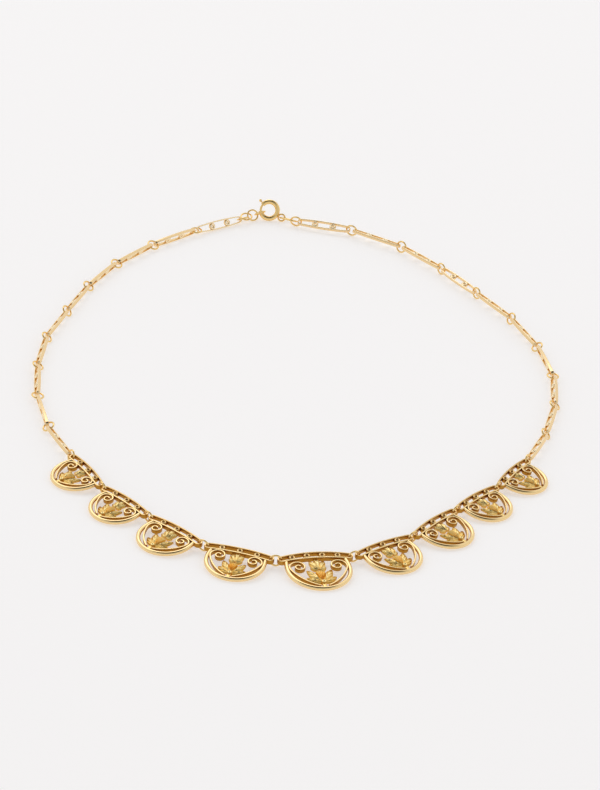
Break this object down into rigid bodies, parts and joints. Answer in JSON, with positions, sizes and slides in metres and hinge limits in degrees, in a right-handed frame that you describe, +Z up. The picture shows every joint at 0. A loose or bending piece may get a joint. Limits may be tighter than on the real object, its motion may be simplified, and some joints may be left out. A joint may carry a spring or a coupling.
{
  "type": "draped necklace",
  "caption": "Gold draped necklace of half-round scroll and leaf panels hung from a ladder-link chain, closed by a bolt ring.",
  "frame": {"origin": "on the table, under the middle of the necklace's bounding box", "axes": "+X to the right of the picture, +Y from the middle panel towards the clasp, +Z up from the table"},
  "size_m": [0.1166, 0.1671, 0.0046],
  "materials": {
    "panel_gold": "yellow gold, polished outer edges and rim, satin strips and matte chased leaves",
    "chain_gold": "polished yellow gold",
    "clasp_gold": "polished yellow gold, a little paler"
  },
  "bodies": {
    "necklace": {"panel_middle": "panel_gold", "panel_left_1": "panel_gold", "panel_left_2": "panel_gold", "panel_left_3": "panel_gold", "panel_left_4": "panel_gold", "panel_right_1": "panel_gold", "panel_right_2": "panel_gold", "panel_right_3": "panel_gold", "panel_right_4": "panel_gold", "link_left_1": "chain_gold", "link_left_2": "chain_gold", "link_left_3": "chain_gold", "link_left_4": "chain_gold", "link_left_5": "chain_gold", "link_left_6": "chain_gold", "link_left_7": "chain_gold", "link_left_8": "chain_gold", "link_left_9": "chain_gold", "link_left_10": "chain_gold", "link_right_1": "chain_gold", "link_right_2": "chain_gold", "link_right_3": "chain_gold", "link_right_4": "chain_gold", "link_right_5": "chain_gold", "link_right_6": "chain_gold", "link_right_7": "chain_gold", "link_right_8": "chain_gold", "link_right_9": "chain_gold", "link_right_10": "chain_gold", "front_rings": "chain_gold", "left_rings": "chain_gold", "right_rings": "chain_gold", "clasp_rings": "chain_gold", "bolt_ring": "clasp_gold"},
    "trigger": {"trigger": "clasp_gold"}
  },
  "joints": [
    {"name": "trigger_slide", "type": "hinge", "parent": "necklace", "child": "trigger", "pos_m": [-0.01044, 0.082, 0.00232], "axis": [-0.0396, 0.8737, -0.4848], "range_deg": [0, 55], "stiffness_Nm_per_rad": 0.0005, "springref_deg": -28.65}
  ]
}
